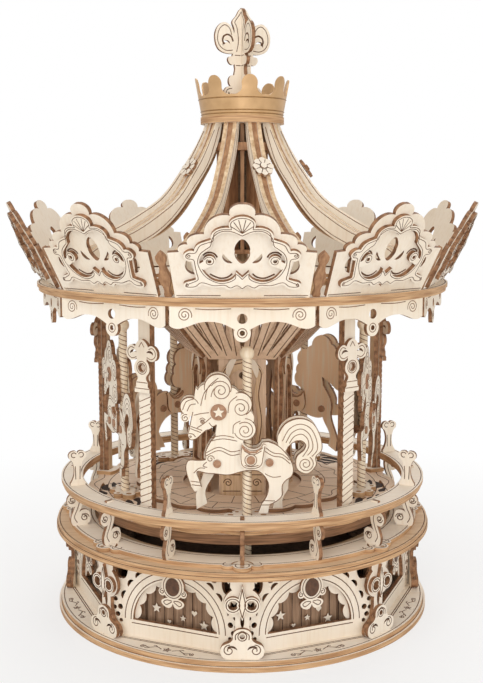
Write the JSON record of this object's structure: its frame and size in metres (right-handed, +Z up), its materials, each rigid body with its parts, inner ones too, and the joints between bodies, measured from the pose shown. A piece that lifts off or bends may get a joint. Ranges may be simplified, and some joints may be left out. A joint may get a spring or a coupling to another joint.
{
  "type": "carousel music box",
  "caption": "Plywood carousel music box: horses on sliding poles circle a drum under a crowned ribbed canopy, on an arcaded base that hides the wind-up movement.",
  "frame": {"origin": "centre of the foot ring's underside", "axes": "+Z up, -Y towards the front of the picture"},
  "size_m": [0.2394, 0.2492, 0.32],
  "materials": {
    "birch_ply": "laser-cut birch plywood, pale face and burnt edge",
    "figure_ply": "laser-cut basswood plywood with engraved lines",
    "pole_wood": "turned wood with a spiral groove",
    "stained_ply": "grey-brown stained slats",
    "gilt_card": "satin gold card over ply",
    "brass": "plain machined brass",
    "steel": "ground steel"
  },
  "bodies": {
    "base": {"base_foot_ring": "birch_ply", "base_plinth_plate": "birch_ply", "facade_panels": "birch_ply", "arch_trims": "birch_ply", "curtains": "stained_ply", "arch_medallions": "birch_ply", "pilasters": "birch_ply", "pilaster_scrolls": "birch_ply", "deck_rings": "birch_ply", "deck_scallop_ring": "birch_ply", "rail_posts": "birch_ply", "handrail_rings": "birch_ply", "movement_floor": "birch_ply", "bearing_plate": "birch_ply", "plate_legs": "birch_ply", "wave_track": "birch_ply", "thrust_bearing": "brass", "movement_bedplate": "brass", "music_comb": "steel"},
    "carousel": {"column_backs": "birch_ply", "column_capitals": "birch_ply", "column_fronts": "birch_ply", "corner_fins": "birch_ply", "cornice_frames": "birch_ply", "cornice_panels": "birch_ply", "crown_band": "gilt_card", "crown_plates": "birch_ply", "drum_cap": "birch_ply", "drum_frames": "birch_ply", "drum_panels": "birch_ply", "finial_plates": "birch_ply", "flare_panels": "birch_ply", "floor_collars": "birch_ply", "main_shaft": "steel", "rib_cheeks": "birch_ply", "rib_cores": "birch_ply", "rib_flowers": "birch_ply", "roof_hub": "birch_ply", "roof_rings": "birch_ply", "shaft_pinion": "birch_ply", "turntable_floor": "birch_ply", "turntable_layers": "birch_ply", "valance_panels": "birch_ply"},
    "winding_key": {"winding_key": "brass"},
    "drive": {"mainspring_barrel": "brass", "barrel_gear": "brass"},
    "cylinder": {"music_cylinder": "brass", "cylinder_pinion": "brass"},
    "governor": {"governor_wheel": "brass"},
    "fly": {"governor_fly": "brass"},
    "horse_1": {"horse_1": "figure_ply", "horse_pole_1": "pole_wood"},
    "horse_2": {"horse_2": "figure_ply", "horse_pole_2": "pole_wood"},
    "horse_3": {"horse_3": "figure_ply", "horse_pole_3": "pole_wood"},
    "horse_4": {"horse_4": "figure_ply", "horse_pole_4": "pole_wood"},
    "horse_5": {"horse_5": "figure_ply", "horse_pole_5": "pole_wood"}
  },
  "joints": [
    {"name": "carousel_spin", "type": "hinge", "parent": "base", "child": "carousel", "pos_m": [0, 0, 0.06], "axis": [0, 0, 1], "continuous": true},
    {"name": "horse_1_lift", "type": "slide", "parent": "carousel", "child": "horse_1", "axis": [0, 0, 1], "range_m": [0, 0.009]},
    {"name": "horse_2_lift", "type": "slide", "parent": "carousel", "child": "horse_2", "axis": [0, 0, 1], "range_m": [-0.00814, 0.00086]},
    {"name": "horse_3_lift", "type": "slide", "parent": "carousel", "child": "horse_3", "axis": [0, 0, 1], "range_m": [-0.00311, 0.00589]},
    {"name": "horse_4_lift", "type": "slide", "parent": "carousel", "child": "horse_4", "axis": [0, 0, 1], "range_m": [-0.00311, 0.00589]},
    {"name": "horse_5_lift", "type": "slide", "parent": "carousel", "child": "horse_5", "axis": [0, 0, 1], "range_m": [-0.00814, 0.00086]},
    {"name": "barrel_spin", "type": "hinge", "parent": "base", "child": "drive", "pos_m": [0, 0.04, 0.02], "axis": [0, 0, 1], "continuous": true},
    {"name": "cylinder_spin", "type": "hinge", "parent": "base", "child": "cylinder", "pos_m": [-0.03406, 0.0276, 0.02], "axis": [0, 0, 1], "continuous": true},
    {"name": "governor_spin", "type": "hinge", "parent": "base", "child": "governor", "pos_m": [0.03406, 0.0276, 0.02], "axis": [0, 0, 1], "continuous": true},
    {"name": "fly_spin", "type": "hinge", "parent": "base", "child": "fly", "pos_m": [0.04306, 0.01201, 0.02], "axis": [0, 0, 1], "continuous": true},
    {"name": "key_wind", "type": "hinge", "parent": "base", "child": "winding_key", "pos_m": [0, 0.04, 0.02], "axis": [0, 0, 1], "range_deg": [0, 1080]}
  ],
  "couplings": [
    {"joint": "barrel_spin", "follows": "carousel_spin", "ratio": -0.33333},
    {"joint": "cylinder_spin", "follows": "carousel_spin", "ratio": 1.6},
    {"joint": "governor_spin", "follows": "carousel_spin", "ratio": 1.6},
    {"joint": "fly_spin", "follows": "carousel_spin", "ratio": -6.4}
  ]
}
